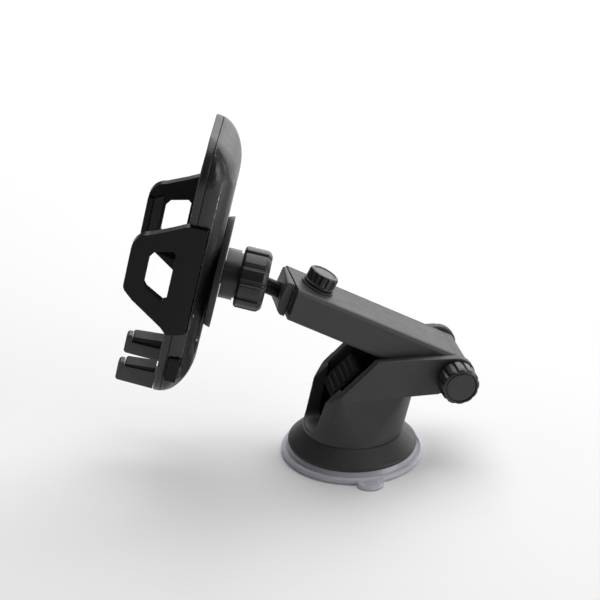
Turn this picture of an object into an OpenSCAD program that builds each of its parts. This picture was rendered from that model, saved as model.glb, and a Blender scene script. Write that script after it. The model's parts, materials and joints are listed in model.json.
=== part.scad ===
// Long-arm phone mount: suction base, telescopic arm, ball head and clamping cradle.
// Origin at the centre of the suction cup's bottom face, +Z up, -X towards the phone.

/* [Suction base] */
// Radius of the suction cup's rim
cup_r = 36; // [35:0.5:40]
// Thickness of the suction cup's rim
cup_rim_t = 3; // [2.5:0.1:3.5]
// Length of the pull tab beyond the rim
tab_len = 6.5; // [4:0.5:10]
// Width of the pull tab
tab_w = 13; // [8:0.5:16]
// Radius of the skirt's lower edge
skirt_r = 32.7; // [31:0.1:33]
// Height of the skirt's lower edge
skirt_z = 5; // [4.5:0.1:5.5]
// Height of the seam between the skirt and the turret
seam_z = 14; // [13:0.1:15]
// Upward travel of the stem when the lever locks it
stem_lift = 2.5; // [1:0.1:2.8]

/* [Turret] */
// Radius of the turret at the seam
turret_r = 25.3; // [24:0.1:27]
// Radius of the turret at the height of the ears
turret_top_r = 26; // [25:0.1:27]
// Backward lean of the turret between the seam and the ears
turret_lean = 5; // [3:0.1:6]
// Half width over the flat cheeks
cheek_y = 20.5; // [20:0.1:22]
// Half width of the channel between the cheeks
channel_y = 16.1; // [16:0.05:16.5]
// Height of the ledge on top of the cheeks
ledge_z = 59; // [57:0.5:61]
// Height of the ears' lower edge
ear_low_z = 38.5; // [37:0.5:40]
// Radius of the ears round the arm's pivot
ear_r = 10.5; // [10:0.1:11.5]
// Distance from the turret's axis to the arm's pivot
pivot_x = 47; // [45:0.5:50]
// Height of the arm's pivot
pivot_z = 47; // [46:0.5:48]

/* [Lever] */
// Height of the pin that joins the lever to the stem
lever_pin_z = 24; // [23:0.5:25]
// Half width of the lever
lever_y = 10; // [9:0.5:10]

/* [Arm] */
// Angle of the arm above the horizontal
arm_pitch = 28.4; // [20:0.1:60]
// Half width of the sleeve
arm_y = 15.7; // [15:0.1:15.8]
// Height of the sleeve's top face above the pivot line
arm_top = 9; // [8.5:0.1:9.5]
// Depth of the sleeve's bottom face below the pivot line
arm_bottom = 7.7; // [7.5:0.1:8.5]
// Length from the pivot to the sleeve's front end, at the bottom
arm_len = 91; // [85:1:110]
// Width of the side rails beside the sleeve's top cover
rail_w = 2.6; // [2:0.1:3]
// Distance from the pivot to the lock knob
lock_s = 80; // [70:1:85]
// Distance from the pivot to the centre of the ball
ball_s = 112.5; // [111:0.5:116]

/* [Knobs] */
// Radius of the pivot knob
pivot_knob_r = 9.8; // [9:0.1:11]
// Length of the pivot knob
pivot_knob_len = 10; // [8:0.5:12]
// Radius of the lock knob
lock_knob_r = 8; // [7:0.1:9]
// Radius of the ball
ball_r = 8.5; // [8.5:0.5:8.5]
// Radius of the ring nut over its lobes
nut_r = 15.3; // [15:0.1:16]

/* [Cradle pose] */
// Turn of the cradle about the vertical
cradle_yaw = -15.9; // [-20:0.1:-10]
// Backward lean of the cradle
cradle_lean = 12.6; // [8:0.1:14]
// Roll of the cradle
cradle_roll = 1.9; // [0:0.1:4]

/* [Cradle] */
// Width of the cradle's housing
cradle_w = 60; // [58:0.5:62]
// Top of the housing above the ball
cradle_top = 75; // [74:0.5:80]
// Bottom of the housing below the ball
cradle_bottom = 65; // [63:0.5:66]
// Corner radius of the housing's face
cradle_corner = 22; // [16:0.5:24]
// Distance from the ball to the housing's back face
back_n = 17.4; // [17:0.1:18]
// Distance from the ball to the seam between back shell and front frame
seam_n = 30.5; // [30:0.1:31]
// Distance from the ball to the housing's front face
face_n = 34.2; // [34:0.1:35]
// Radius of the round back plate
plate_r = 27.8; // [26:0.1:29]

/* [Jaws] */
// Outer face of each jaw, from the cradle's middle
jaw_y = 31.5; // [31:0.1:32.5]
// Thickness of the jaw's side wall
jaw_t = 4.5; // [4:0.1:5]
// Distance from the ball to the jaw's tip
jaw_tip_n = 58.3; // [54:0.1:62]
// Outward travel of each jaw
jaw_travel = 18; // [10:1:18]

/* [Foot] */
// Outer face of each foot finger, from the cradle's middle
foot_y = 19; // [18:0.5:21]
// Width of a foot finger
finger_w = 10.5; // [10:0.5:13]
// Distance from the ball to the fingers' tips
foot_tip_n = 53.4; // [48:0.1:56]
// Downward travel of the foot
foot_travel = 6; // [2:0.5:6]

/* [Hidden] */
$fn = 48;

eps = 0.01;
cut = 200;
run = 0.05;
gap = 0.3;

// Colours of the moulded plastic, metal and rubber
matte_black = [0.16, 0.16, 0.16];
satin_black = [0.10, 0.10, 0.10];
rubber_black = [0.14, 0.12, 0.11];
clear_lilac = [0.80, 0.79, 0.88, 0.6];
steel = [0.70, 0.70, 0.72];

// Suction base
cup_hole_r = 7.6;
cup_top_z = skirt_z;
stem_r = 3.5;
stem_foot_r = 7.2;
stem_foot_z = 0.6 + stem_lift;
stem_foot_t = 2;
skirt_wall = 2.4;
turret_floor_z = seam_z + 2.4;
base_screw_pcr = 18;
base_screw_r = 1.5;
base_screw_head = 1.2;
base_screw_len = 4.5;

// Turret and arm pivot
bolt_r = 3;
bolt_bore_r = bolt_r + run;
channel_rear_low = 17;
channel_rear_high = 22.5;
channel_front_x = -15;
slant_top = [7.5, ledge_z];
slant_foot = [-19, 34.4];
slant_angle = atan2(slant_top[1] - slant_foot[1], slant_top[0] - slant_foot[0]);
slot_z = turret_floor_z + 0.4;
slot_low_y = 11.6;
slot_high_y = 13.5;
slot_r = 7;
bevel_drop = 4.8;
bevel_turn = 11;
arm_tail_r = 9.3;
washer_t = 0.3;

// Lever
lever_bore_r = 1.5 + run;
lever_hub_r = 4.6;
lever_hub_y = 8.5;
stem_eye_y = 5;

// Arm
wall = 2.2;
cover_t = 2.2;
cover_y = arm_y - rail_w;
cavity_y = cover_y - 1;
cavity_rear_s = 12;
cavity_low = -arm_bottom + wall;
slant_run = 2.8;
end_slope = slant_run / (arm_top + arm_bottom);
lock_screw_r = 2;
arm_screw_s = 16.5;
arm_screw_r = 1.2;
lock_boss_r = 8.6;
lock_boss_t = 1.2;
pad_len = 8;
pad_w = 8;
tube_y = cavity_y - gap;
tube_low = cavity_low + gap;
tube_top = arm_top - cover_t - gap;
tube_rear_s = 22;
tube_front_s = arm_len + 1;
groove_t = 1.3;
end_cap_s = tube_front_s + 6;
end_cap_z = 1.5;
end_cap_side_r = 14;
end_cap_plan_r = 50;

// Ball head
stem_neck_r = 4;
liner_in_r = ball_r + 0.12;
liner_out_r = 9.4;
socket_in_r = liner_out_r + 0.12;
socket_r = 11.2;
socket_rear_n = -6.5;
boss_r = 12.4;
boss_n = 7;
plate_n = 14.1;
plate_skin = 1.5;
plate_rim = 3;
plate_boss_r = 9;
spigot_r = 5.5;
spigot_n = 10.6;
nut_rear_n = -8;
nut_front_n = 6;

// Cradle
cradle_mid = (cradle_top - cradle_bottom) / 2;
cradle_len = cradle_top + cradle_bottom;
side_round = 12;
end_round = 22;
form_reach = back_n + end_round;
shell_wall = 1.8;
jaw_mid = 6;
pad_seat = 0.9;
frame_wall = 2.4;
frame_skin = 1.3;
pad_up = 4;
face_pad_w = 43.4;
face_pad_len = 103.4;
face_pad_r = 7.7;
window_low = -18;
window_high = 30;
jaw_root_low = -21.3;
jaw_root_high = 34.8;
jaw_root_n = 24.6;
jaw_plate_n = 26.8;
jaw_plate_t = 3.2;
rack_n = 24.8;
rack_t = 1.7;
rack_reach = jaw_travel + 4;
pinion_teeth = 10;
pitch_r = 5;
tooth_pitch = 2 * PI * pitch_r / pinion_teeth;
tooth_h = 0.8;
shaft_r = 1.5;
button_u = -42.5;
button_len = 13;
button_h = 5.6;
button_n = 26.8;
foot_plate_n = 27;
foot_plate_t = 3.3;
foot_low = -61.8;
foot_body_n = 50.6;
foot_side_t = 1;
finger_seat = -54.8;
lip_w = 5;
lip_top = -50.9;
foot_neck_w = 8;
foot_neck_low = -58.5;
foot_neck_high = -55.2;
foot_bar_h = 5;
foot_bar_u = foot_travel + foot_bar_h + shell_wall - cradle_bottom;
foot_stem_w = 16;
foot_stem_top = -31;
foot_bar_half = foot_y - finger_w / 2 + foot_neck_w / 2;

function arc(cx, cy, r, a0, a1, steps = 8) =
    [for (i = [0:steps]) let (a = a0 + (a1 - a0) * i / steps) [cx + r * cos(a), cy + r * sin(a)]];

// Places children in the arm's frame: X along the arm from its pivot, Z out of its top face
module arm_frame() {
    translate([pivot_x, 0, pivot_z]) rotate([0, -arm_pitch, 180]) children();
}

// Places children in the cradle's frame: X from the ball to the phone, Y to the near side, Z up
module cradle_frame() {
    translate([pivot_x - ball_s * cos(arm_pitch), 0, pivot_z + ball_s * sin(arm_pitch)])
        rotate([cradle_roll, cradle_lean, cradle_yaw])
            rotate([0, 0, 180])
                children();
}

// Extrudes an X-Z outline evenly to both sides of Y = 0
module side_prism(half) {
    rotate([90, 0, 0]) linear_extrude(2 * half, center = true) children();
}

// Rounded rectangle, centred, from squares and true circles
module round_rect(w, h, r) {
    square([w - 2 * r, h], center = true);
    square([w, h - 2 * r], center = true);
    for (x = [-1, 1], y = [-1, 1])
        translate([x * (w / 2 - r), y * (h / 2 - r)]) circle(r);
}

// Coil spring along Z from 0 to len: one swept tube with pointed ends closed flat
module coil_spring(r, wire, turns, len) {
    sides = 6;
    per_turn = 14;
    rings = turns * per_turn;
    points = [for (i = [0:rings]) let (a = 360 * i / per_turn, z = wire + (len - 2 * wire) * i / rings)
        for (k = [0:sides - 1]) let (b = 360 * k / sides, q = r + wire * cos(b))
            [q * cos(a), q * sin(a), z + wire * sin(b)]];
    skin = [for (i = [0:rings - 1], k = [0:sides - 1], half = [0, 1]) let (j = (k + 1) % sides)
        half == 0 ? [i * sides + k, (i + 1) * sides + k, (i + 1) * sides + j]
                  : [i * sides + k, (i + 1) * sides + j, i * sides + j]];
    polyhedron(points, concat([[for (k = [0:sides - 1]) k]], skin,
        [[for (k = [sides - 1:-1:0]) rings * sides + k]]));
}

// Round knob along Z, its rim waved into lobes with narrow grooves between them
module lobed_knob(r, h, lobes, groove) {
    steps = 8 * lobes;
    linear_extrude(h) polygon([for (i = [0:steps - 1])
        let (a = 360 * i / steps, q = r - groove * pow(sin(lobes * a / 2), 4))
            [q * cos(a), q * sin(a)]]);
}

module suction_cup() {
    color(clear_lilac) {
        rotate_extrude($fn = 96)
            polygon(concat([[cup_hole_r, 2.4], [29, 0], [cup_r - 0.8, 0]],
                arc(cup_r - 1.5, cup_rim_t / 2, cup_rim_t / 2, -60, 90, 8),
                [[cup_r - 1.6, 2.4], [34, 2.2], [skirt_r + 0.4, 2.6], [32, cup_top_z],
                 [25, cup_top_z], [12, cup_top_z + 0.2], [cup_hole_r, cup_top_z + 0.2]]));
        translate([1, 0, 0.5]) {
            linear_extrude(1.8) intersection() {
                translate([-tab_w / 2, -cup_r - tab_len]) square([tab_w, tab_len + 1.2]);
                translate([0, -cup_r - tab_len + tab_w * 0.55]) circle(tab_w * 0.55);
            }
            for (i = [0:3])
                translate([-tab_w / 4, -cup_r - 1.6 - 1.3 * i, 1.8]) cube([tab_w / 2, 0.6, 0.4]);
        }
    }
}

module cup_stem() {
    color(satin_black) difference() {
        union() {
            translate([0, 0, stem_foot_z]) cylinder(r = stem_foot_r, h = stem_foot_t);
            cylinder_between(stem_foot_z + stem_foot_t, lever_pin_z, stem_r);
            translate([0, 0, lever_pin_z]) rotate([90, 0, 0])
                cylinder(r = lever_hub_r - 0.4, h = 2 * stem_eye_y - gap, center = true);
        }
        translate([0, 0, lever_pin_z]) rotate([90, 0, 0])
            cylinder(r = lever_bore_r, h = cut, center = true);
    }
}

module cylinder_between(z0, z1, r) {
    translate([0, 0, z0]) cylinder(r = r, h = z1 - z0);
}

module stem_spring() {
    spring_z = stem_foot_z + stem_foot_t;
    color(steel) translate([0, 0, spring_z])
        coil_spring(5.2, 0.45, 4, seam_z - skirt_wall - spring_z);
}

module base_skirt() {
    color(matte_black) difference() {
        rotate_extrude($fn = 96)
            polygon(concat([[skirt_r - skirt_wall, skirt_z], [skirt_r - 0.4, skirt_z]],
                arc(skirt_r - 0.8, skirt_z + 1.6, 0.8, 0, 50, 5),
                [[turret_r, seam_z], [stem_r + run, seam_z], [stem_r + run, seam_z - skirt_wall],
                 [turret_r - 3, seam_z - skirt_wall]]));
        for (i = [0:3])
            rotate([0, 0, 45 + 90 * i]) translate([base_screw_pcr, 0, 0])
                cylinder(r = base_screw_r, h = cut, center = true);
    }
}

// Side outline of the cheeks: slanted front, ledge and round ears
module cheek_outline() {
    polygon(concat([[-30, seam_z], [20, seam_z], [20, ear_low_z], [pivot_x - 8, ear_low_z]],
        arc(pivot_x, pivot_z, ear_r, -126, 90, 16),
        [[slant_top[0] + 22, ledge_z - 0.4], slant_top, [-30, slant_top[1]]]));
}

module turret_round() {
    hull() {
        translate([0, 0, seam_z]) cylinder(r = turret_r, h = 0.1, $fn = 64);
        translate([turret_lean, 0, ear_low_z - 0.1]) linear_extrude(0.1) intersection() {
            circle(turret_top_r, $fn = 64);
            square([cut, 2 * cheek_y], center = true);
        }
    }
}

module turret() {
    color(matte_black) difference() {
        union() {
            turret_round();
            intersection() {
                side_prism(cheek_y) cheek_outline();
                translate([0, 0, ear_low_z - eps]) linear_extrude(cut) union() {
                    translate([turret_lean, 0]) circle(turret_top_r);
                    translate([turret_lean, -cheek_y]) square([cut, 2 * cheek_y]);
                }
            }
        }
        // Channel between the cheeks, open to the top, and its slot through the front wall
        side_prism(channel_y) polygon([[channel_front_x, turret_floor_z],
            [channel_rear_low, turret_floor_z], [channel_rear_high, ear_low_z],
            [channel_rear_high, ear_low_z + 2],
            [pivot_x, pivot_z - arm_tail_r - 1.5], [cut, pivot_z - cut],
            [cut, cut], [channel_front_x + turret_lean, cut],
            [channel_front_x + turret_lean, ear_low_z]]);
        translate([-cut, 0, 0]) rotate([90, 0, 90]) linear_extrude(cut) front_slot();
        // Slanted front cut
        side_prism(cut) polygon([[-cut, slant_foot[1]], slant_foot, slant_top,
            [slant_top[0], cut], [-cut, cut]]);
        // Bevels on the outside of the slanted edges
        for (side = [-1, 1])
            slant_bevel(side);
        for (i = [0:3])
            rotate([0, 0, 45 + 90 * i]) translate([base_screw_pcr, 0, 0])
                cylinder(r = base_screw_r, h = 2 * seam_z + 10, center = true);
        cylinder(r = stem_r + run, h = cut, center = true);
        translate([pivot_x, 0, pivot_z]) rotate([90, 0, 0])
            cylinder(r = bolt_bore_r, h = cut, center = true);
    }
}

// Outline of the slot in the turret's front wall, as [y, z]
module front_slot() {
    polygon(concat(arc(slot_r - slot_low_y, slot_z + slot_r, slot_r, 180, 270),
        arc(slot_low_y - slot_r, slot_z + slot_r, slot_r, 270, 360),
        [[slot_high_y, slant_foot[1]], [slot_high_y, cut], [-slot_high_y, cut],
         [-slot_high_y, slant_foot[1]]]));
}

// Wedge that bevels one outer edge of the slanted cut
module slant_bevel(side) {
    translate([slant_top[0], side * cheek_y, slant_top[1]]) rotate([0, -slant_angle, 0])
        translate([-cut, 0, -bevel_drop]) rotate([-side * bevel_turn, 0, 0])
            translate([0, side > 0 ? 0 : -10, 0]) cube([cut + 5, 10, 20]);
}

module base_screws() {
    color(steel) for (i = [0:3])
        rotate([0, 0, 45 + 90 * i]) translate([base_screw_pcr, 0, seam_z - skirt_wall])
            cylinder_between(-base_screw_head, base_screw_len, base_screw_r);
}

module suction_lever() {
    paddle = [[-13.5, 36.5], [0.5, 50], [3.5, 47.5], [-4, 40], [-2, 31], [2.5, 27], [-3.6, 21.5],
        [-8, 33]];
    ribs = 5;
    rib_pitch = 2.5;
    rib_r = 0.6;
    color(satin_black) difference() {
        union() {
            side_prism(lever_y) polygon(paddle);
            translate([0, 0, lever_pin_z]) rotate([90, 0, 0])
                cylinder(r = lever_hub_r, h = 2 * lever_hub_y, center = true);
            for (i = [1:ribs])
                translate([paddle[0][0] + rib_pitch * i, 0, paddle[0][1] + 0.96 * rib_pitch * i])
                    rotate([90, 0, 0]) cylinder(r = rib_r, h = 2 * lever_y - 4, center = true);
        }
        cube([40, 2 * stem_eye_y, 72], center = true);
        translate([0, 0, lever_pin_z]) rotate([90, 0, 0])
            cylinder(r = lever_bore_r, h = cut, center = true);
    }
}

module lever_pin() {
    color(steel) translate([0, 0, lever_pin_z]) rotate([90, 0, 0])
        cylinder(r = lever_bore_r - run, h = 2 * lever_hub_y + 2, center = true);
}

module pivot_bolt() {
    color(steel) translate([pivot_x, 0, pivot_z]) rotate([90, 0, 0]) {
        translate([0, 0, -cheek_y]) cylinder(r = bolt_r, h = 2 * cheek_y + 8);
        translate([0, 0, -cheek_y - 2]) cylinder(r = 5.5, h = 2, $fn = 6);
    }
}

module pivot_bolt_nut() {
    color(matte_black) translate([pivot_x, cheek_y, pivot_z]) rotate([-90, 0, 0])
        difference() {
            cylinder(r = 8, h = 3.2);
            translate([0, 0, -eps]) cylinder(r = 6.2, h = 2.1);
        }
}

module pivot_washers() {
    color(steel) for (side = [-1, 1])
        translate([pivot_x, side * (arm_y + washer_t / 2 + 0.05), pivot_z]) rotate([90, 0, 0])
            difference() {
                cylinder(r = 8, h = washer_t, center = true);
                cylinder(r = bolt_bore_r, h = 1, center = true);
            }
}

module pivot_knob() {
    color(satin_black) translate([pivot_x, -cheek_y - gap, pivot_z]) rotate([90, 0, 0])
        difference() {
            union() {
                cylinder(r = 7, h = 2);
                translate([0, 0, 0.8]) lobed_knob(pivot_knob_r, pivot_knob_len, 12, 0.9);
            }
            translate([0, 0, -1]) cylinder(r = bolt_bore_r, h = 9.2);
            translate([0, 0, pivot_knob_len - 0.4]) cylinder(r = 7.7, h = 3);
        }
}

module pivot_knob_cap() {
    color(satin_black) translate([pivot_x, -cheek_y - gap - pivot_knob_len + 0.4, pivot_z])
        rotate([90, 0, 0]) cylinder(r = 7.4, h = 1);
}

// Cross-section of the sleeve, Y across and Z up
module sleeve_section() {
    h = arm_top + arm_bottom;
    translate([0, (arm_top - arm_bottom) / 2]) round_rect(2 * arm_y, h, 2.4);
}

module along_arm(s0, s1) {
    translate([s0, 0, 0]) rotate([90, 0, 90]) linear_extrude(s1 - s0) children();
}

module arm_sleeve() {
    color(matte_black) arm_frame() difference() {
        intersection() {
            along_arm(-20, 110) sleeve_section();
            side_prism(cut) union() {
                circle(arm_tail_r);
                polygon([[0, -arm_bottom - 2], [arm_len - 2 * end_slope, -arm_bottom - 2],
                    [arm_len + slant_run + 2 * end_slope, arm_top + 2], [0, arm_top + 2]]);
            }
        }
        // Space for the inner tube, and above it the seat of the top cover
        translate([cavity_rear_s, -cavity_y, cavity_low])
            cube([cut, 2 * cavity_y, arm_top - cover_t - cavity_low + eps]);
        translate([2, -cover_y, arm_top - cover_t]) cube([cut, 2 * cover_y, 10]);
        arm_screw_places() translate([0, 0, -20]) cylinder(r = arm_screw_r, h = 20);
        rotate([90, 0, 0]) cylinder(r = bolt_bore_r, h = cut, center = true);
    }
}

module arm_top_cover() {
    color(matte_black) arm_frame() difference() {
        union() {
            intersection() {
                translate([2, -cover_y + 0.2, arm_top - cover_t])
                    cube([cut, 2 * cover_y - 0.4, cover_t]);
                side_prism(cut) polygon([[0, 0], [arm_len + end_slope * arm_bottom, 0],
                    [arm_len + slant_run, arm_top], [0, arm_top]]);
            }
            translate([lock_s, 0, arm_top - eps]) cylinder(r = lock_boss_r, h = lock_boss_t);
            arm_screw_places() translate([0, 0, cavity_low])
                cylinder(r = 3, h = arm_top - cover_t - cavity_low + eps);
        }
        arm_screw_places() translate([0, 0, -20]) cylinder(r = arm_screw_r, h = 20 + 2);
        translate([lock_s, 0, 0]) cylinder(r = lock_screw_r + run, h = cut);
    }
}

module arm_screw_places() {
    for (y = [-8, 8])
        translate([arm_screw_s, y, 0]) children();
}

module arm_screws() {
    color(steel) arm_frame() arm_screw_places()
        translate([0, 0, -arm_bottom - 0.2]) {
            cylinder(r = arm_screw_r, h = 9);
            translate([0, 0, -0.6]) cylinder(r = 2.2, h = 0.8);
        }
}

module brake_pad() {
    color(rubber_black) arm_frame()
        translate([lock_s - pad_len / 2, -pad_w / 2, tube_top - groove_t + run])
            cube([pad_len, pad_w, groove_t + gap - 2 * run]);
}

module lock_knob() {
    color(satin_black) arm_frame() translate([lock_s, 0, arm_top + lock_boss_t + 0.2])
        difference() {
            lobed_knob(lock_knob_r, 7.2, 14, 0.8);
            translate([0, 0, -1]) cylinder(r = lock_screw_r, h = 6);
            translate([0, 0, 6.2]) cylinder(r = 5.6, h = 3);
        }
}

module lock_knob_cap() {
    color(satin_black) arm_frame() translate([lock_s, 0, arm_top + lock_boss_t + 6.4])
        cylinder(r = 5.4, h = 0.7);
}

module lock_screw() {
    color(steel) arm_frame() translate([lock_s, 0, arm_top - cover_t + run])
        cylinder(r = lock_screw_r, h = cover_t + lock_boss_t + 5);
}

module inner_tube() {
    color(satin_black) arm_frame() difference() {
        side_prism(tube_y) polygon([[tube_rear_s, tube_low],
            [tube_front_s + end_slope * (tube_low + arm_bottom), tube_low],
            [tube_front_s + end_slope * (tube_top + arm_bottom), tube_top],
            [tube_rear_s, tube_top]]);
        translate([tube_rear_s - 1, -tube_y + wall, tube_low + wall])
            cube([cut, 2 * (tube_y - wall), tube_top - tube_low - 2 * wall - 0.6]);
        translate([lock_s - 55, -pad_w / 2 - gap, tube_top - groove_t])
            cube([55 + pad_len / 2 + gap, pad_w + 2 * gap, 5]);
    }
}

module tube_end_cap() {
    h = arm_top + arm_bottom + gap;
    color(matte_black) arm_frame() difference() {
        intersection() {
            along_arm(0, cut) translate([0, (arm_top + gap - arm_bottom) / 2])
                round_rect(2 * arm_y, h, 3);
            side_prism(cut) polygon([[tube_front_s - end_slope * h, -arm_bottom - h],
                [tube_front_s + end_slope * h, arm_top + gap], [cut, arm_top + gap],
                [cut, -arm_bottom - h]]);
            translate([end_cap_s - end_cap_side_r, 0, end_cap_z]) rotate([90, 0, 0])
                cylinder(r = end_cap_side_r, h = cut, center = true, $fn = 96);
            translate([end_cap_s - end_cap_plan_r, 0, 0])
                cylinder(r = end_cap_plan_r, h = cut, center = true, $fn = 240);
        }
        rotate([0, 90, 0]) cylinder(r = stem_neck_r, h = cut);
    }
}

module ball_stud() {
    rear_s = tube_front_s + 2;
    color(satin_black) arm_frame() {
        translate([ball_s, 0, 0]) sphere(ball_r, $fn = 64);
        translate([rear_s, 0, 0]) rotate([0, 90, 0]) cylinder(r = stem_neck_r, h = ball_s - rear_s);
    }
}

module ball_liner() {
    color(steel) cradle_frame() rotate([0, 90, 0]) rotate_extrude($fn = 64)
        polygon(concat(arc(0, 0, liner_out_r, -6, 84, 15), arc(0, 0, liner_in_r, 84, -6, 15)));
}

module ball_socket() {
    color(satin_black) cradle_frame() difference() {
        union() {
            translate([socket_rear_n, 0, 0]) rotate([0, 90, 0])
                cylinder(r = socket_r, h = plate_n - gap - socket_rear_n);
            translate([boss_n, 0, 0]) rotate([0, 90, 0])
                cylinder(r = boss_r, h = plate_n - gap - boss_n);
        }
        sphere(socket_in_r, $fn = 64);
        translate([socket_rear_n - 1, 0, 0]) rotate([0, 90, 0])
            cylinder(r1 = 9.2, r2 = 7.8, h = 3);
        rotate([0, 90, 0]) cylinder(r = spigot_r + run, h = cut);
        for (i = [0:2])
            rotate([60 * i, 0, 0]) translate([socket_rear_n - 1, -0.6, -20]) cube([8, 1.2, 40]);
    }
}

module ring_nut() {
    color(satin_black) cradle_frame() difference() {
        intersection() {
            translate([nut_rear_n, 0, 0]) rotate([0, 90, 0])
                lobed_knob(nut_r, nut_front_n - nut_rear_n, 11, 1.2);
            translate([nut_rear_n, 0, 0]) rotate([0, 90, 0])
                cylinder(r1 = nut_r - 2, r2 = nut_r + 12, h = 14);
        }
        translate([socket_rear_n - gap, 0, 0]) rotate([0, 90, 0])
            cylinder(r = socket_r + run, h = cut);
        translate([nut_rear_n - 1, 0, 0]) rotate([0, 90, 0])
            cylinder(r1 = 10.6, r2 = 8.8, h = 4);
    }
}

module back_plate() {
    color(matte_black) cradle_frame() {
        difference() {
            translate([plate_n, 0, 0]) rotate([0, 90, 0])
                cylinder(r1 = plate_r, r2 = plate_r - 1, h = back_n - plate_n);
            translate([plate_n + plate_skin, 0, 0]) rotate([0, 90, 0]) difference() {
                cylinder(r = plate_r - plate_rim, h = 5);
                cylinder(r = plate_boss_r, h = 5);
            }
        }
        translate([spigot_n, 0, 0]) rotate([0, 90, 0])
            cylinder(r = spigot_r, h = plate_n - spigot_n + eps);
    }
}

// Section through the housing, drawn as [n, across], its back corners rounded by arcs of radius r
module back_section(half, r, margin) {
    polygon(concat([[form_reach, margin - half]],
        arc(back_n + r, r - half, r - margin, -90, -180, 12),
        arc(back_n + r, half - r, r - margin, 180, 90, 12),
        [[form_reach, half - margin]]));
}

// Solid with the housing's rounded back, shrunk by a margin, between two planes across n
module housing_form(margin, n0, n1) {
    translate([0, 0, cradle_mid]) intersection() {
        translate([n0, 0, 0]) rotate([90, 0, 90]) linear_extrude(n1 - n0)
            round_rect(cradle_w - 2 * margin, cradle_len - 2 * margin, cradle_corner - margin);
        linear_extrude(cut, center = true) back_section(cradle_w / 2, side_round, margin);
        rotate([90, 0, 0]) linear_extrude(cut, center = true)
            back_section(cradle_len / 2, end_round, margin);
    }
}

// Clearance for the jaws' roots in both sides of the housing
module jaw_recess() {
    for (side = [-1, 1])
        translate([0, side > 0 ? cut : gap - jaw_y + jaw_t, 0]) rotate([90, 0, 0])
            linear_extrude(cut - jaw_y + jaw_t + gap)
                polygon([[jaw_root_n - 0.4, jaw_root_low - 0.5], [34, jaw_root_low - 2.9],
                    [cut, jaw_root_low - 2.9], [cut, jaw_root_high + 0.4],
                    [jaw_root_n - 0.4, jaw_root_high + 0.4]]);
}

// Slots through which the foot's two necks pass
module foot_slots() {
    for (side = [-1, 1])
        translate([foot_plate_n - gap, side * (foot_y - finger_w / 2) - foot_neck_w / 2 - gap,
            foot_neck_high + gap - cut])
            cube([20, foot_neck_w + 2 * gap, cut]);
}

module cradle_back_shell() {
    color(satin_black) cradle_frame() difference() {
        union() {
            difference() {
                housing_form(0, back_n, seam_n);
                housing_form(shell_wall, back_n, seam_n + 1);
            }
            for (p = screw_places())
                translate([back_n + 1, p[0], p[1]]) rotate([0, 90, 0])
                    cylinder(r = 3, h = seam_n - back_n - 1);
        }
        jaw_recess();
        foot_slots();
        translate([rack_n - gap, -50, window_low - gap])
            cube([cut, 100, window_high - window_low + 2 * gap]);
        translate([button_n - button_h / 2 - 0.2, -50, button_u - button_len / 2 - 0.2])
            cube([button_h + 0.4, 100, button_len + 0.4]);
        for (p = screw_places())
            translate([back_n - 1, p[0], p[1]]) rotate([0, 90, 0]) cylinder(r = 1.3, h = cut);
        translate([back_n - 1, 0, jaw_mid]) rotate([0, 90, 0]) cylinder(r = shaft_r, h = 8);
    }
}

function screw_places() =
    [for (y = [-1, 1]) each [[y * 15, cradle_top - 20], [y * 18.5, foot_stem_top + 2]]];

module cradle_front_frame() {
    color(satin_black) cradle_frame() difference() {
        housing_form(0, seam_n, face_n);
        housing_form(frame_wall, seam_n - 1, face_n - pad_seat - frame_skin);
        translate([face_n - pad_seat, 0, cradle_mid + pad_up]) rotate([90, 0, 90])
            linear_extrude(5) round_rect(face_pad_w + gap, face_pad_len + gap, face_pad_r + gap / 2);
        jaw_recess();
        foot_slots();
    }
}

module face_pad() {
    color(rubber_black) cradle_frame() translate([face_n - pad_seat, 0, cradle_mid + pad_up])
        rotate([90, 0, 90]) linear_extrude(pad_seat + 0.5)
            round_rect(face_pad_w, face_pad_len, face_pad_r);
}

module cradle_screws() {
    color(steel) cradle_frame() for (p = screw_places())
        translate([back_n + 1, p[0], p[1]]) rotate([0, 90, 0]) cylinder(r = 1.3, h = 10);
}

module pinion_shaft() {
    color(steel) cradle_frame() translate([back_n, 0, jaw_mid]) rotate([0, 90, 0])
        cylinder(r = shaft_r, h = rack_n + rack_t - back_n);
}

module jaw_pinion() {
    root = pitch_r - tooth_h - 0.2;
    color(satin_black) cradle_frame() translate([rack_n, 0, jaw_mid]) rotate([0, 90, 0])
        difference() {
            linear_extrude(rack_t) union() {
                circle(root);
                for (i = [0:pinion_teeth - 1])
                    rotate([0, 0, 360 * (i + 0.5) / pinion_teeth]) polygon([[root - 0.4, -0.75],
                        [pitch_r, -0.5], [pitch_r + tooth_h, -0.2], [pitch_r + tooth_h, 0.2],
                        [pitch_r, 0.5], [root - 0.4, 0.75]]);
            }
            translate([0, 0, -1]) cylinder(r = shaft_r + run, h = 10);
        }
}

// Outline of a jaw's side wall as [n, u]
module jaw_outline() {
    polygon(concat([[jaw_root_n, jaw_root_low], [34, -23.6], [37, -20.6], [53, -9.6]],
        arc(jaw_tip_n - 5, -2.5, 5, -40, 0, 5), arc(jaw_tip_n - 9, 17.2, 9, 0, 80, 8),
        [[41, 31], [35, 34.4], [33, jaw_root_high], [jaw_root_n, jaw_root_high]]));
}

module jaw_window() {
    polygon([[37, 19], [38.6, 20.3], [47, 18], [49, 15], [49, 0], [47.5, -2], [38.8, -7],
        [37, -6]]);
}

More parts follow.
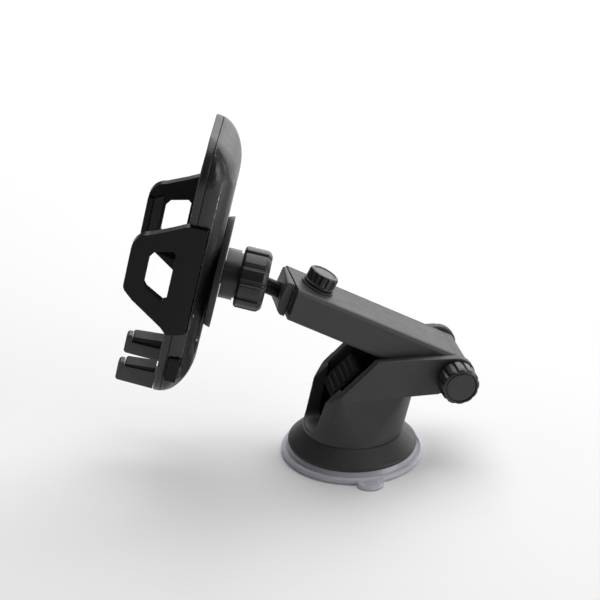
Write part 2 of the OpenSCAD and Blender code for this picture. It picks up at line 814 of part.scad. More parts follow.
// One jaw: side wall with a window, sliding plate and toothed rack, drawn for the near side.
// The rack runs above the pinion where rack_side is 1, and below it where it is -1.
module jaw(rack_side) {
    difference() {
        union() {
            translate([0, jaw_y, 0]) rotate([90, 0, 0]) linear_extrude(jaw_t) jaw_outline();
            translate([jaw_plate_n, 6, window_low])
                cube([jaw_plate_t, jaw_y - jaw_t - 6 + eps, window_high - window_low]);
            translate([jaw_tip_n - 3, jaw_y - jaw_t - 1.8, -2.5]) cube([3, 2, 19.7]);
            translate([0, 0, jaw_mid]) mirror([0, 0, rack_side > 0 ? 0 : 1])
                translate([0, 0, pitch_r + 1]) rack_bar();
        }
        translate([0, jaw_y + 1, 0]) rotate([90, 0, 0]) linear_extrude(20) jaw_window();
    }
}

module rack_bar() {
    translate([rack_n, -rack_reach, 0]) cube([rack_t, rack_reach + jaw_y - jaw_t + eps, 4.5]);
    translate([rack_n, 6, 0]) cube([jaw_plate_n - rack_n + eps, jaw_y - jaw_t - 6 + eps, 4.5]);
    for (i = [-6:4])
        translate([rack_n, i * tooth_pitch, 0]) rotate([90, 0, 90]) linear_extrude(rack_t)
            polygon([[-0.75, eps], [-0.5, -1], [-0.2, -1 - tooth_h], [0.2, -1 - tooth_h], [0.5, -1],
                [0.75, eps]]);
}

module jaw_near() {
    color(satin_black) cradle_frame() jaw(1);
}

module jaw_far() {
    color(satin_black) cradle_frame() mirror([0, 1, 0]) jaw(-1);
}

module jaw_pad() {
    translate([0, jaw_y - jaw_t, 0]) rotate([90, 0, 0]) linear_extrude(1.5)
        polygon([[50.5, -3], [54.8, -3], [54.8, 17], [50.5, 20]]);
}

module jaw_pad_near() {
    color(rubber_black) cradle_frame() jaw_pad();
}

module jaw_pad_far() {
    color(rubber_black) cradle_frame() mirror([0, 1, 0]) jaw_pad();
}

module jaw_spring() {
    translate([24, 6, -14]) rotate([-90, 0, 0]) coil_spring(1.3, 0.3, 9, 20);
}

module jaw_spring_near() {
    color(steel) cradle_frame() jaw_spring();
}

module jaw_spring_far() {
    color(steel) cradle_frame() mirror([0, 1, 0]) jaw_spring();
}

module release_button() {
    translate([button_n - button_h / 2, 22, button_u - button_len / 2])
        cube([button_h, cradle_w / 2 + 1 - 22, button_len]);
    translate([button_n - button_h / 2, 22 - eps, button_u - button_len / 2 - 1])
        cube([button_h, 2, button_len + 2]);
}

module release_button_near() {
    color(satin_black) cradle_frame() release_button();
}

module release_button_far() {
    color(satin_black) cradle_frame() mirror([0, 1, 0]) release_button();
}

module button_spring() {
    translate([button_n, 14, button_u]) rotate([-90, 0, 0]) coil_spring(1.8, 0.3, 5, 5.9);
}

module button_spring_near() {
    color(steel) cradle_frame() button_spring();
}

module button_spring_far() {
    color(steel) cradle_frame() mirror([0, 1, 0]) button_spring();
}

module foot_bracket() {
    color(satin_black) cradle_frame() {
        translate([foot_plate_n, -foot_stem_w / 2, foot_bar_u])
            cube([foot_plate_t, foot_stem_w, foot_stem_top - foot_bar_u]);
        translate([foot_plate_n, -foot_bar_half, foot_bar_u])
            cube([foot_plate_t, 2 * foot_bar_half, foot_bar_h]);
        for (side = [-1, 1]) {
            mid = side * (foot_y - finger_w / 2);
            translate([0, mid + foot_neck_w / 2, 0]) rotate([90, 0, 0])
                linear_extrude(foot_neck_w) polygon([[foot_plate_n, foot_neck_low],
                    [face_n + 1, foot_neck_low], [face_n + 1, foot_neck_high],
                    [foot_plate_n + foot_plate_t, foot_neck_high],
                    [foot_plate_n + foot_plate_t, foot_bar_u + eps],
                    [foot_plate_n, foot_bar_u + eps]]);
            translate([0, mid + finger_w / 2, 0]) rotate([90, 0, 0]) linear_extrude(finger_w)
                polygon([[face_n + gap, foot_low], [foot_body_n - 1, foot_low + 0.5],
                    [foot_body_n, foot_low + 1.5], [foot_body_n, finger_seat],
                    [face_n + gap, finger_seat]]);
            translate([0, mid + finger_w / 2, 0]) rotate([90, 0, 0]) linear_extrude(lip_w)
                polygon([[foot_body_n - 2, foot_low + 0.5], [foot_tip_n - 1, foot_low + 0.6],
                    [foot_tip_n, foot_low + 1.6], [foot_tip_n, lip_top - 1],
                    [foot_tip_n - 1, lip_top],
                    [foot_body_n, lip_top], [foot_body_n, finger_seat],
                    [foot_body_n - 2, finger_seat - 2]]);
            translate([0, mid + side * finger_w / 2 + (side > 0 ? 0 : foot_side_t), 0])
                rotate([90, 0, 0]) linear_extrude(foot_side_t)
                    polygon([[face_n + gap, finger_seat - 2], [foot_body_n, finger_seat - 2],
                        [foot_body_n, finger_seat + 1.6], [face_n + gap, finger_seat + 2]]);
        }
    }
}

module foot_pad(side) {
    color(rubber_black) cradle_frame()
        translate([0, side * (foot_y - finger_w / 2) + finger_w / 2 - foot_side_t, 0])
            rotate([90, 0, 0]) linear_extrude(finger_w - 2 * foot_side_t)
                polygon([[face_n + 1, finger_seat], [foot_body_n - 0.3, finger_seat],
                    [foot_body_n - 0.3, finger_seat + 2], [foot_body_n - 1, finger_seat + 2.7],
                    [face_n + 1, finger_seat + 4]]);
}

module foot_pad_near() {
    foot_pad(1);
}

module foot_pad_far() {
    foot_pad(-1);
}

suction_cup();
cup_stem();
stem_spring();
base_skirt();
turret();
base_screws();
suction_lever();
lever_pin();
pivot_bolt();
pivot_bolt_nut();
pivot_washers();
pivot_knob();
pivot_knob_cap();
arm_sleeve();
arm_top_cover();
arm_screws();
brake_pad();
lock_knob();
lock_screw();
lock_knob_cap();
inner_tube();
tube_end_cap();
ball_stud();
ball_liner();
ball_socket();
ring_nut();
back_plate();
cradle_back_shell();
cradle_front_frame();
face_pad();
cradle_screws();
pinion_shaft();
jaw_pinion();
jaw_near();
jaw_far();
jaw_pad_near();
jaw_pad_far();
jaw_spring_near();
jaw_spring_far();
release_button_near();
release_button_far();
button_spring_near();
button_spring_far();
foot_bracket();
foot_pad_near();
foot_pad_far();
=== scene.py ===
"""Looks of the long-arm phone mount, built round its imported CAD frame.

Lengths of pieces are in millimetres (times MM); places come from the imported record's joints.
"""
import json
import math

import bmesh
import bpy
from mathutils import Matrix, Vector


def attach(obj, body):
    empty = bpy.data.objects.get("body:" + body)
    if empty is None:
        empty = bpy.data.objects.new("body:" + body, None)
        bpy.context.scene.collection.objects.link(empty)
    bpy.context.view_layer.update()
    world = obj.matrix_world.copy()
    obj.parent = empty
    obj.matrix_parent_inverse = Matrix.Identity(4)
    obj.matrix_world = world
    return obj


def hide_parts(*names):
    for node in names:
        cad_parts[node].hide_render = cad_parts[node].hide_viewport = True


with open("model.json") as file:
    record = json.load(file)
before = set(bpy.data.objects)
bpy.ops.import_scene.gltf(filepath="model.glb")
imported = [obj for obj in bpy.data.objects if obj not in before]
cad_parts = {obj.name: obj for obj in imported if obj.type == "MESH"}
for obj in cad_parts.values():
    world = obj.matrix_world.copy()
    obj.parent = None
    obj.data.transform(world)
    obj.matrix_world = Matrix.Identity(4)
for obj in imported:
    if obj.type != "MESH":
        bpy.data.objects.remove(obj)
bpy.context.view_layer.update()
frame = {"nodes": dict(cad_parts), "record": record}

MM = 0.001
# Points of a CAD mesh nearer than this are one point
WELD = 0.002
# Neighbouring faces that differ by fewer degrees than this are one panel
FLAT_ANGLE = 0.5
# Longest edges left in the housing's corners, pass by pass, and how far past them that reaches
CORNER_EDGES = (24, 12, 6, 3, 3)
CORNER_SPARE_W, CORNER_SPARE_H = 20, 22
NODES = frame["nodes"]
RECORD = frame["record"]
BODY_OF = {node: body for body, nodes in RECORD["behaviour"]["bodies"].items() for node in nodes}
SLOT_OF = {part["node"]: part["material_slot"] for part in RECORD["subparts"]}
JOINTS = {joint["name"]: joint for joint in RECORD["behaviour"]["joints"]}


# ---------------------------------------------------------------- places

def axes(origin, x, z):
    """Matrix from a local frame in millimetres to the row frame in metres."""
    x, z = Vector(x).normalized(), Vector(z).normalized()
    y = z.cross(x).normalized()
    x = y.cross(z)
    turn = Matrix((x, y, z)).transposed().to_4x4()
    return Matrix.Translation(Vector(origin)) @ turn @ Matrix.Scale(MM, 4)


arm_origin = Vector(JOINTS["arm_pitch"]["pos_m"])
arm_along = Vector(JOINTS["arm_extend"]["axis"])
arm_up = Vector(JOINTS["lock_knob_turn"]["axis"])
ball = Vector(JOINTS["head_roll"]["pos_m"])
cradle_n = Vector(JOINTS["head_roll"]["axis"])
cradle_l = Vector(JOINTS["jaw_near_slide"]["axis"])
ARM = axes(arm_origin, arm_along, arm_up)
SIDE = math.copysign(1, ARM.col[1].y)
CRADLE = axes(ball, cradle_n, cradle_n.cross(cradle_l))


def axis_frame(origin, axis, side):
    """Frame whose Z runs along an axis, for pieces that are turned on a lathe."""
    return axes(origin, side, axis)


def local_range(node, matrix):
    """Lowest and highest corner of a CAD node in a local frame, in its millimetres."""
    inverse = matrix.inverted()
    points = [inverse @ vertex.co for vertex in NODES[node].data.vertices]
    low = Vector([min(point[k] for point in points) for k in range(3)])
    high = Vector([max(point[k] for point in points) for k in range(3)])
    return low, high


# ---------------------------------------------------------------- materials

def nodes_of(name):
    """A new material, its tree and its shader."""
    material = bpy.data.materials.new(name)
    material.use_nodes = True
    tree = material.node_tree
    return material, tree, tree.nodes["Principled BSDF"]


def add(tree, kind, **settings):
    """A new node, with its sockets or properties set by name."""
    node = tree.nodes.new(kind)
    for key, value in settings.items():
        if key in node.inputs:
            node.inputs[key].default_value = value
        else:
            setattr(node, key.lower(), value)
    return node


def noise(tree, coordinates, scale, detail=2.0, roughness=0.5):
    """Grey noise, 0 to 1."""
    node = add(tree, "ShaderNodeTexNoise", Scale=scale, Detail=detail, Roughness=roughness)
    tree.links.new(coordinates, node.inputs["Vector"])
    return node.outputs["Fac"]


def ramp(tree, value, low, high, start, end):
    """Maps a value from low..high to start..end."""
    node = add(tree, "ShaderNodeMapRange")
    for key, number in (("From Min", low), ("From Max", high), ("To Min", start), ("To Max", end)):
        node.inputs[key].default_value = number
    tree.links.new(value, node.inputs["Value"])
    return node.outputs["Result"]


def colour_mix(tree, factor, first, second):
    """Mixes two colours, each a tuple or another node's output."""
    node = tree.nodes.new("ShaderNodeMix")
    node.data_type = "RGBA"
    tree.links.new(factor, node.inputs["Factor"])
    for socket, colour in ((node.inputs[6], first), (node.inputs[7], second)):
        if isinstance(colour, tuple):
            socket.default_value = (*colour, 1)
        else:
            tree.links.new(colour, socket)
    return node.outputs[2]


def bumped(tree, shader, height, depth, strength=1.0, under=None):
    """Raises the surface by a height, on top of another bump if there is one."""
    node = add(tree, "ShaderNodeBump", Strength=strength, Distance=depth)
    tree.links.new(height, node.inputs["Height"])
    if under is not None:
        tree.links.new(under, node.inputs["Normal"])
    tree.links.new(node.outputs["Normal"], shader.inputs["Normal"])
    return node.outputs["Normal"]


def moulded_plastic(name, colour, worn, rough, grain, depth, gloss):
    """Moulded black plastic: fine spark-eroded grain, faint cloudiness, edges a little polished."""
    material, tree, shader = nodes_of(name)
    at = tree.nodes.new("ShaderNodeTexCoord").outputs["Object"]
    clouds = noise(tree, at, 55, 3)
    edge = ramp(tree, tree.nodes.new("ShaderNodeNewGeometry").outputs["Pointiness"],
                0.51, 0.60, 0.0, 1.0)
    tone = colour_mix(tree, ramp(tree, clouds, 0.3, 0.7, 0, 1), colour,
                      tuple(channel * 1.25 for channel in colour))
    tree.links.new(colour_mix(tree, edge, tone, worn), shader.inputs["Base Color"])
    smears = noise(tree, at, 190, 4, 0.65)
    tree.links.new(ramp(tree, smears, 0.25, 0.75, rough - 0.05, rough + 0.05),
                   shader.inputs["Roughness"])
    pits = noise(tree, at, grain, 2, 0.6)
    flow = noise(tree, at, 120, 2)
    slow = bumped(tree, shader, flow, 0.02 * MM, 0.5)
    bumped(tree, shader, pits, depth * MM, 0.6, slow)
    shader.inputs["Specular IOR Level"].default_value = gloss
    return material


def soft_rubber(name, colour):
    """Pads: dull, slightly brown rubber with a dusty sheen and a fine pebbled surface."""
    material, tree, shader = nodes_of(name)
    at = tree.nodes.new("ShaderNodeTexCoord").outputs["Object"]
    dust = noise(tree, at, 260, 5, 0.7)
    tree.links.new(colour_mix(tree, ramp(tree, dust, 0.35, 0.75, 0, 1), colour,
                              tuple(channel * 1.6 + 0.004 for channel in colour)),
                   shader.inputs["Base Color"])
    tree.links.new(ramp(tree, dust, 0.3, 0.7, 0.62, 0.82), shader.inputs["Roughness"])
    cells = add(tree, "ShaderNodeTexVoronoi", Scale=1500.0)
    tree.links.new(at, cells.inputs["Vector"])
    bumped(tree, shader, cells.outputs["Distance"], 0.03 * MM, 0.6)
    shader.inputs["Sheen Weight"].default_value = 0.15
    shader.inputs["Sheen Roughness"].default_value = 0.5
    return material


def clear_cup_plastic(name):
    """Clear, faintly violet soft plastic of the suction cup."""
    material, tree, shader = nodes_of(name)
    at = tree.nodes.new("ShaderNodeTexCoord").outputs["Object"]
    waves = noise(tree, at, 140, 3)
    tree.links.new(colour_mix(tree, ramp(tree, waves, 0.3, 0.7, 0, 1), (0.84, 0.83, 0.92),
                              (0.90, 0.89, 0.96)), shader.inputs["Base Color"])
    tree.links.new(ramp(tree, waves, 0.3, 0.7, 0.14, 0.26), shader.inputs["Roughness"])
    bumped(tree, shader, noise(tree, at, 420, 2), 0.05 * MM, 0.5)
    shader.inputs["Transmission Weight"].default_value = 0.40
    shader.inputs["IOR"].default_value = 1.42
    return material


def machined_steel(name):
    """Zinc-plated steel with fine turning marks and faint stains."""
    material, tree, shader = nodes_of(name)
    at = tree.nodes.new("ShaderNodeTexCoord").outputs["Object"]
    stain = noise(tree, at, 300, 4, 0.6)
    tree.links.new(colour_mix(tree, ramp(tree, stain, 0.35, 0.7, 0, 1), (0.60, 0.60, 0.62),
                              (0.48, 0.48, 0.49)), shader.inputs["Base Color"])
    tree.links.new(ramp(tree, stain, 0.3, 0.7, 0.22, 0.38), shader.inputs["Roughness"])
    bumped(tree, shader, noise(tree, at, 2600, 2), 0.01 * MM, 0.5)
    shader.inputs["Metallic"].default_value = 1.0
    return material


FINISH = {
    "matte_black": moulded_plastic("matte_black", (0.030, 0.030, 0.030), (0.060, 0.060, 0.060),
                                   0.50, 2300, 0.030, 0.5),
    "satin_black": moulded_plastic("satin_black", (0.013, 0.013, 0.013), (0.032, 0.032, 0.032),
                                   0.36, 2900, 0.012, 0.55),
    "pad_rubber": soft_rubber("pad_rubber", (0.016, 0.0125, 0.011)),
    "clear_cup": clear_cup_plastic("clear_cup"),
    "steel": machined_steel("steel"),
}
# A glossier copy of the satin black whose darker base colour is painted shade, for the jaws, buttons
# and stud that face away from the lamps
SHADED_GLOSS_BLACK = moulded_plastic("shaded_gloss_black", (0.005, 0.005, 0.005), (0.016, 0.016, 0.016),
                              0.30, 2900, 0.008, 0.15)
# A darker, duller copy of the satin black: painted shade for the lever that sits deep in its channel
PAINTED_SHADE_BLACK = moulded_plastic("painted_shade_black", (0.004, 0.004, 0.004), (0.007, 0.007, 0.007),
                             0.60, 2300, 0.030, 0.12)


# ---------------------------------------------------------------- pieces

def settle(obj, node, *others, finish=None):
    """Gives a new piece its body, its finish and the CAD nodes that it stands for."""
    obj.data.materials.clear()
    obj.data.materials.append(finish or FINISH[SLOT_OF[node]])
    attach(obj, BODY_OF[node])
    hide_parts(node, *others)
    return obj


def new_object(name, bm):
    """A smooth-shaded object of a finished bmesh."""
    mesh = bpy.data.meshes.new(name)
    bmesh.ops.recalc_face_normals(bm, faces=bm.faces)
    bm.to_mesh(mesh)
    bm.free()
    mesh.shade_smooth()
    obj = bpy.data.objects.new(name, mesh)
    bpy.context.scene.collection.objects.link(obj)
    return obj


def rounded(obj, radius, segments=3, angle=30):
    """Rounds a piece's edges as a mould does, and keeps its flats flat."""
    bevel = obj.modifiers.new("edges", "BEVEL")
    bevel.width = radius * MM
    bevel.segments = segments
    bevel.limit_method = "ANGLE"
    bevel.angle_limit = math.radians(angle)
    bevel.use_clamp_overlap = True
    bevel.miter_outer = "MITER_ARC"
    flats = obj.modifiers.new("flats", "WEIGHTED_NORMAL")
    flats.weight = 80
    flats.keep_sharp = True
    return obj


def welded(node):
    """A copy of a CAD node's mesh with its doubled points joined."""
    bm = bmesh.new()
    bm.from_mesh(NODES[node].data)
    bmesh.ops.remove_doubles(bm, verts=bm.verts, dist=WELD * MM)
    return bm


def panelled(node):
    """A copy of a CAD node's mesh with its flat triangles joined into panels."""
    bm = welded(node)
    bmesh.ops.dissolve_limit(bm, angle_limit=math.radians(FLAT_ANGLE), verts=bm.verts,
                             edges=bm.edges)
    return bm


def moulded(node, radius, finish=None):
    """The visible skin of a CAD node: its faces joined into clean panels, its edges rounded."""
    obj = new_object(node + "_skin", panelled(node))
    return settle(rounded(obj, radius), node, finish=finish)


def arc_drop(depth, radius):
    """How far a rounded edge has drawn in at a depth below its full width."""
    if depth <= 0:
        return 0.0
    return radius - math.sqrt(max(radius ** 2 - min(depth, radius) ** 2, 0.0))


def ray_to_arc(direction, centre, radius):
    """Distance from a point along a direction to a circle round another point."""
    along = direction.dot(centre)
    return along + math.sqrt(max(along ** 2 - centre.length_squared + radius ** 2, 0.0))


def blended(point, form):
    """Moves a point of the housing so that its two crossed roundings meet in a soft corner."""
    n, across, up = point
    half_w = form["half_w"] - arc_drop(form["back"] + form["side_r"] - n, form["side_r"])
    half_h = form["half_h"] - arc_drop(form["back"] + form["end_r"] - n, form["end_r"])
    soft = form["soft"]
    core = Vector((half_w - soft, half_h - soft))
    offset = Vector((abs(across), abs(up - form["middle"]))) - core
    if min(offset) <= 0:
        return point
    way = offset.normalized()
    plan = Vector((form["half_w"] - form["corner"], form["half_h"] - form["corner"])) - core
    arc = ray_to_arc(way, plan, form["corner"])
    was = min(soft / way.x, soft / way.y, arc)
    moved = core + offset * (min(soft, arc) / was)
    return Vector((n, math.copysign(moved.x, across),
                   form["middle"] + math.copysign(moved.y, up - form["middle"])))


def eased(obj, voxel, passes):
    """Spreads an even mesh over a piece and softens it, so that its faces run into each other."""
    even = obj.modifiers.new("even", "REMESH")
    even.mode, even.voxel_size, even.use_smooth_shade = "VOXEL", voxel * MM, True
    soft = obj.modifiers.new("soft", "SMOOTH")
    soft.factor, soft.iterations = 0.5, passes
    return obj


def eased_skin(node, voxel, passes):
    """The visible skin of a CAD node whose faces run into each other."""
    return settle(eased(new_object(node + "_skin", welded(node)), voxel, passes), node)


def housing_skin(node, form):
    """Skin of a housing half, with the corners of its back blended."""
    bm = panelled(node)
    bmesh.ops.triangulate(bm, faces=bm.faces)
    inverse = CRADLE.inverted()
    for longest in CORNER_EDGES:
        split = [edge for edge in bm.edges if edge.calc_length() > longest * MM
                 and in_corner(inverse @ ((edge.verts[0].co + edge.verts[1].co) / 2), form)]
        bmesh.ops.subdivide_edges(bm, edges=split, cuts=1)
        bmesh.ops.triangulate(bm, faces=bm.faces)
    for vertex in bm.verts:
        vertex.co = CRADLE @ blended(inverse @ vertex.co, form)
    obj = new_object(node + "_skin", bm)
    return settle(eased(obj, form["voxel"], form["easing"]), node)


def in_corner(point, form):
    """Whether a point lies near one of the housing's four corners."""
    return (abs(point.y) > form["half_w"] - form["soft"] - CORNER_SPARE_W
            and abs(point.z - form["middle"]) > form["half_h"] - form["soft"] - CORNER_SPARE_H)


def lathe(name, profile, matrix, segments, wave):
    """Turns a closed [radius, height] outline round Z; wave(angle, r, h) carves the radius."""
    bm = bmesh.new()
    rings = []
    for radius, height in profile:
        if radius < 1e-6:
            rings.append([bm.verts.new(matrix @ Vector((0, 0, height)))])
            continue
        ring = []
        for step in range(segments):
            angle = 2 * math.pi * step / segments
            r = wave(angle, radius, height)
            ring.append(bm.verts.new(matrix @ Vector((r * math.cos(angle), r * math.sin(angle),
                                                      height))))
        rings.append(ring)
    pairs = list(zip(rings, rings[1:]))
    if len(rings[0]) > 1 and len(rings[-1]) > 1:
        pairs.append((rings[-1], rings[0]))
    for low, high in pairs:
        for step in range(segments):
            after = (step + 1) % segments
            corners = [low[step % len(low)], low[after % len(low)],
                       high[after % len(high)], high[step % len(high)]]
            unique = list(dict.fromkeys(corners))
            if len(unique) > 2:
                bm.faces.new(unique)
    return new_object(name, bm)


def smooth_step(value, low, high):
    """0 below low, 1 above high, and an even S between them."""
    t = min(max((value - low) / (high - low), 0.0), 1.0)
    return t * t * (3 - 2 * t)


def softened(points, radius, steps=4):
    """Rounds the corners of an open [radius, height] outline, except its two ends."""
    result = [points[0]]
    for before, corner, after in zip(points, points[1:], points[2:]):
        here = Vector(corner)
        back, ahead = Vector(before) - here, Vector(after) - here
        reach = min(radius, 0.45 * back.length, 0.45 * ahead.length)
        first, last = here + back.normalized() * reach, here + ahead.normalized() * reach
        for step in range(steps + 1):
            t = step / steps
            result.append(tuple(first * (1 - t) ** 2 + here * 2 * t * (1 - t) + last * t * t))
    result.append(points[-1])
    return result


def grooved(lobes, depth, share, low, high, reach, edge=0.16):
    """Radius carving for a knob: one groove per lobe, between two heights, near the outside."""
    def wave(angle, radius, height):
        turn = (angle * lobes / (2 * math.pi)) % 1.0
        away = abs(turn - 0.5)
        inside = 1 - smooth_step(away, share / 2 - edge / 2, share / 2 + edge / 2)
        tall = smooth_step(height, low, low + 0.5) * (1 - smooth_step(height, high - 0.5, high))
        outer = smooth_step(radius, reach - 1.2, reach - 0.4)
        return radius - depth * inside * tall * outer
    return wave


def make_end_cap():
    """The inner arm's end piece: a slab with a rounded lower front, a little thinner far off."""
    half, yaw = 10.9, 2.4
    slanted = range(1, 6)
    # [along, up] in the arm's frame
    side = [(94.9, 9.2), (98.2, 9.25), (99.1, 8.4), (98.4, 1.0), (97.6, -4.4), (96.6, -6.6),
            (94.6, -7.9), (92.1, -7.9)]
    bm = bmesh.new()
    loops = []
    for across in (half, -half):
        turn = yaw * (half - across) / (2 * half)
        loops.append([bm.verts.new(ARM @ Vector((s - turn * (k in slanted), -across * SIDE, t)))
                      for k, (s, t) in enumerate(side)])
    bm.faces.new(loops[0])
    bm.faces.new(loops[1])
    for k in range(len(side)):
        after = (k + 1) % len(side)
        bm.faces.new([loops[0][k], loops[0][after], loops[1][after], loops[1][k]])
    settle(rounded(new_object("tube_end_cap_body", bm), 1.1, 4, 22), "tube_end_cap")


def make_lock_knob():
    """The arm's clamping knob: a foot ring, 14 shallow grooves and a dished cap."""
    low, high = local_range("lock_knob", ARM)
    place = axis_frame(JOINTS["lock_knob_turn"]["pos_m"], arm_up, arm_along)
    r = (high.x - low.x) / 2
    base, top = low.z, high.z
    lobes = 14
    profile = [(0, base), (r - 0.5, base), (r, base + 0.4), (r, base + 1.3), (r - 0.35, base + 1.5),
               (r - 0.35, top - 1.2), (r - 0.7, top - 0.35), (r - 1.3, top), (5.9, top),
               (5.6, top - 0.5), (5.3, top - 0.5), (5.0, top - 0.32), (0, top - 0.3)]
    obj = lathe("lock_knob_body", softened(profile, 0.3), place, lobes * 22,
                grooved(lobes, 0.75, 0.42, base + 1.3, top - 0.35, r - 0.35))
    settle(obj, "lock_knob", "lock_knob_cap")


def make_pivot_knob():
    """The hinge's knob: 12 grooves and a cap disc with a fine ring round it."""
    joint = JOINTS["pivot_knob_turn"]
    place = axis_frame(joint["pos_m"], joint["axis"], (0, 0, 1))
    low, high = local_range("pivot_knob", place)
    r, base, top = (high.x - low.x) / 2, low.z, high.z
    lobes = 12
    profile = [(0, base + 0.2), (3.2, base), (6.9, base), (7, base + 0.9), (r - 0.9, base + 0.95),
               (r, base + 1.7), (r, top - 1.7), (r - 0.5, top - 0.6), (r - 1.3, top), (8.0, top),
               (7.75, top - 0.6), (7.45, top - 0.6), (7.2, top - 0.15), (6.0, top - 0.05), (0, top)]
    obj = lathe("pivot_knob_body", softened(profile, 0.4), place, lobes * 26,
                grooved(lobes, 0.95, 0.30, base + 1.0, top - 0.2, r, 0.20))
    settle(obj, "pivot_knob", "pivot_knob_cap")


def make_ring_nut():
    """The ball's nut: 11 broad lobes, each with a low ridge at both sides of its groove."""
    place = axis_frame(ball, cradle_n, cradle_l)
    low, high = local_range("ring_nut", place)
    r, rear, front = (high.x - low.x) / 2, low.z, high.z
    bore, lobes = 11.3, 11

    def wave(angle, radius, height):
        turn = (angle * lobes / (2 * math.pi)) % 1.0
        away = abs(turn - 0.5)
        groove = 1 - smooth_step(away, 0.04, 0.20)
        ridge = 1 - smooth_step(abs(away - 0.31), 0.015, 0.05)
        outer = smooth_step(radius, r - 2.6, r - 0.6)
        tall = (smooth_step(height, rear + 3, rear + 5)
                * (1 - smooth_step(height, front - 3, front - 1.4)))
        return radius - outer * (1.15 * groove + 0.22 * ridge * tall)

    profile = [(8.9, rear + 2.8), (10.5, rear), (r - 2.4, rear), (r - 1.2, rear + 0.8),
               (r - 0.1, rear + 2.2), (r, rear + 3.2), (r, front - 1.2), (r - 0.9, front - 0.3),
               (r - 2.2, front), (bore, front), (bore, rear + 3.0), (9.2, rear + 3.0)]
    obj = lathe("ring_nut_body", softened(profile, 0.5), place, lobes * 28, wave)
    settle(obj, "ring_nut")


# Nodes shown with rounded edges in their slot's finish, and the roundings' radii
SKINS = (
    ("suction_cup", 0.25), ("base_skirt", 0.6),
    ("pivot_bolt_nut", 0.4), ("arm_sleeve", 0.45), ("arm_top_cover", 0.42), ("inner_tube", 0.4),
    ("ball_socket", 0.3), ("back_plate", 0.6), ("face_pad", 0.3),
    ("jaw_pad_near", 0.3), ("jaw_pad_far", 0.3), ("foot_bracket", 0.45), ("foot_pad_near", 0.4),
    ("foot_pad_far", 0.4), ("cup_stem", 0.3), ("pivot_bolt", 0.3), ("brake_pad", 0.2),
)

# The housing in the cradle's frame: half its width and height, its middle and its back; the roundings
# of its long edges, its ends and its corners; the blend's reach; the skin's mesh size and smoothing
shell_low, shell_high = local_range("cradle_back_shell", CRADLE)
HOUSING = {"half_w": (shell_high.y - shell_low.y) / 2, "half_h": (shell_high.z - shell_low.z) / 2,
           "middle": (shell_high.z + shell_low.z) / 2, "back": shell_low.x,
           "side_r": 12, "end_r": 22, "corner": 22, "soft": 17,
           "voxel": 0.45, "easing": 6}

# The same for the pieces drawn glossier than their slot and darker than it, the darker colour being
# painted shade
SHADED_GLOSSY_SKINS = (
    ("jaw_near", 0.7), ("jaw_far", 0.7), ("release_button_near", 0.6),
    ("release_button_far", 0.6), ("ball_stud", 0.2),
)

for node, radius in SKINS:
    moulded(node, radius)
for node in ("cradle_back_shell", "cradle_front_frame"):
    housing_skin(node, HOUSING)
# These pieces get the glossier copy whose darker colour is painted shade
for node, radius in SHADED_GLOSSY_SKINS:
    moulded(node, radius, finish=SHADED_GLOSS_BLACK)
# The lever is drawn in the darker copy, as painted shade
moulded("suction_lever", 0.5, finish=PAINTED_SHADE_BLACK)
eased_skin("turret", 0.5, 4)
make_end_cap()
make_lock_knob()
make_pivot_knob()
make_ring_nut()
# Pieces that stay as the CAD has them get their finish too
for node, obj in NODES.items():
    obj.data.materials.clear()
    obj.data.materials.append(FINISH[SLOT_OF[node]])


# ---------------------------------------------------------------- stage

def area_light(name, place, aim, width, height, radiance):
    """A soft rectangular light, aimed at a point and unseen by the camera."""
    data = bpy.data.lights.new(name, "AREA")
    data.shape = "RECTANGLE"
    data.size, data.size_y = width, height
    data.energy = radiance * math.pi * width * height
    light = bpy.data.objects.new(name, data)
    light.location = place
    light.rotation_euler = (Vector(aim) - Vector(place)).to_track_quat("-Z", "Y").to_euler()
    light.visible_camera = False
    bpy.context.scene.collection.objects.link(light)


def make_floor():
    """A plain pale floor, a hair under the cup, that ends before the lights' planes."""
    reach, gap = 2.0, 0.0002
    bm = bmesh.new()
    bmesh.ops.create_circle(bm, cap_ends=True, segments=128, radius=reach)
    floor = new_object("floor", bm)
    floor.location.z = -gap
    material, tree, shader = nodes_of("floor_white")
    shader.inputs["Base Color"].default_value = (0.92, 0.92, 0.92, 1)
    shader.inputs["Roughness"].default_value = 0.9
    shader.inputs["Specular IOR Level"].default_value = 0.1
    floor.data.materials.append(material)


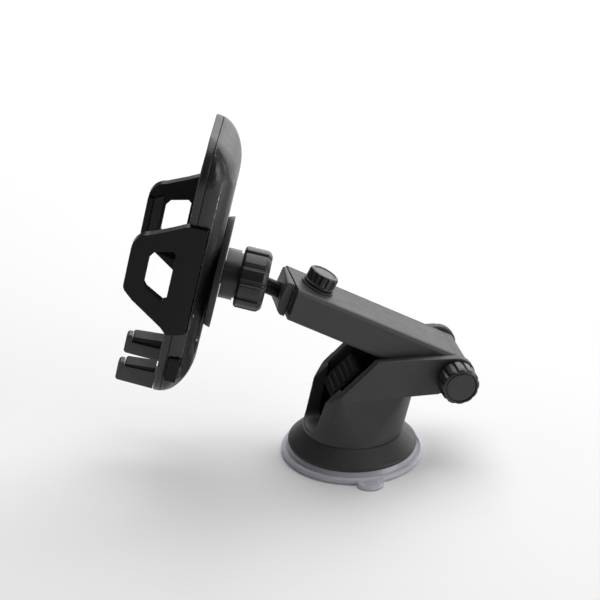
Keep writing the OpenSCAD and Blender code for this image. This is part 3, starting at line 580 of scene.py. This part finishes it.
def make_world():
    """White background; the room that lights the object is dimmer than the white behind it."""
    world = bpy.data.worlds.new("studio")
    bpy.context.scene.world = world
    world.use_nodes = True
    tree = world.node_tree
    tree.nodes.clear()
    seen = add(tree, "ShaderNodeBackground", Color=(1, 1, 1, 1), Strength=1.0)
    room = add(tree, "ShaderNodeBackground", Color=(1, 1, 1, 1), Strength=0.07)
    mix = tree.nodes.new("ShaderNodeMixShader")
    path = tree.nodes.new("ShaderNodeLightPath")
    out = tree.nodes.new("ShaderNodeOutputWorld")
    tree.links.new(path.outputs["Is Camera Ray"], mix.inputs[0])
    tree.links.new(room.outputs[0], mix.inputs[1])
    tree.links.new(seen.outputs[0], mix.inputs[2])
    tree.links.new(mix.outputs[0], out.inputs["Surface"])


def make_camera():
    """The photograph's view: a long lens a little left of and above the arm's near side."""
    azimuth, elevation, roll = (math.radians(angle) for angle in (-11.97, 25.38, 0.38))
    target, distance = Vector((-0.02758, 0, 0.08684)), 1.0777
    back = Vector((math.sin(azimuth) * math.cos(elevation),
                   -math.cos(azimuth) * math.cos(elevation), math.sin(elevation)))
    right = Vector((math.cos(azimuth), math.sin(azimuth), 0))
    up = back.cross(right)
    right, up = (right * math.cos(roll) + up * math.sin(roll),
                 up * math.cos(roll) - right * math.sin(roll))
    data = bpy.data.cameras.new("camera")
    data.lens, data.sensor_width = 132, 36
    data.clip_start, data.clip_end = 0.05, 50
    camera = bpy.data.objects.new("camera", data)
    camera.matrix_world = Matrix.Translation(target + back * distance) @ Matrix(
        (right, up, back)).transposed().to_4x4()
    bpy.context.scene.collection.objects.link(camera)
    bpy.context.scene.camera = camera


make_floor()
make_world()
make_camera()
centre = (0, 0, 0.09)
area_light("overhead", (0.25, 0.45, 1.5), centre, 1.7, 1.7, 2.7)
area_light("backdrop", (1.1, 1.5, 0.7), centre, 3.0, 1.6, 2.0)
area_light("front_right", (1.8, -1.3, 0.6), centre, 1.3, 1.1, 3.6)
area_light("left_top", (-1.2, 0.2, 1.0), centre, 0.7, 0.7, 0.5)
bpy.context.scene.view_settings.view_transform = "Standard"
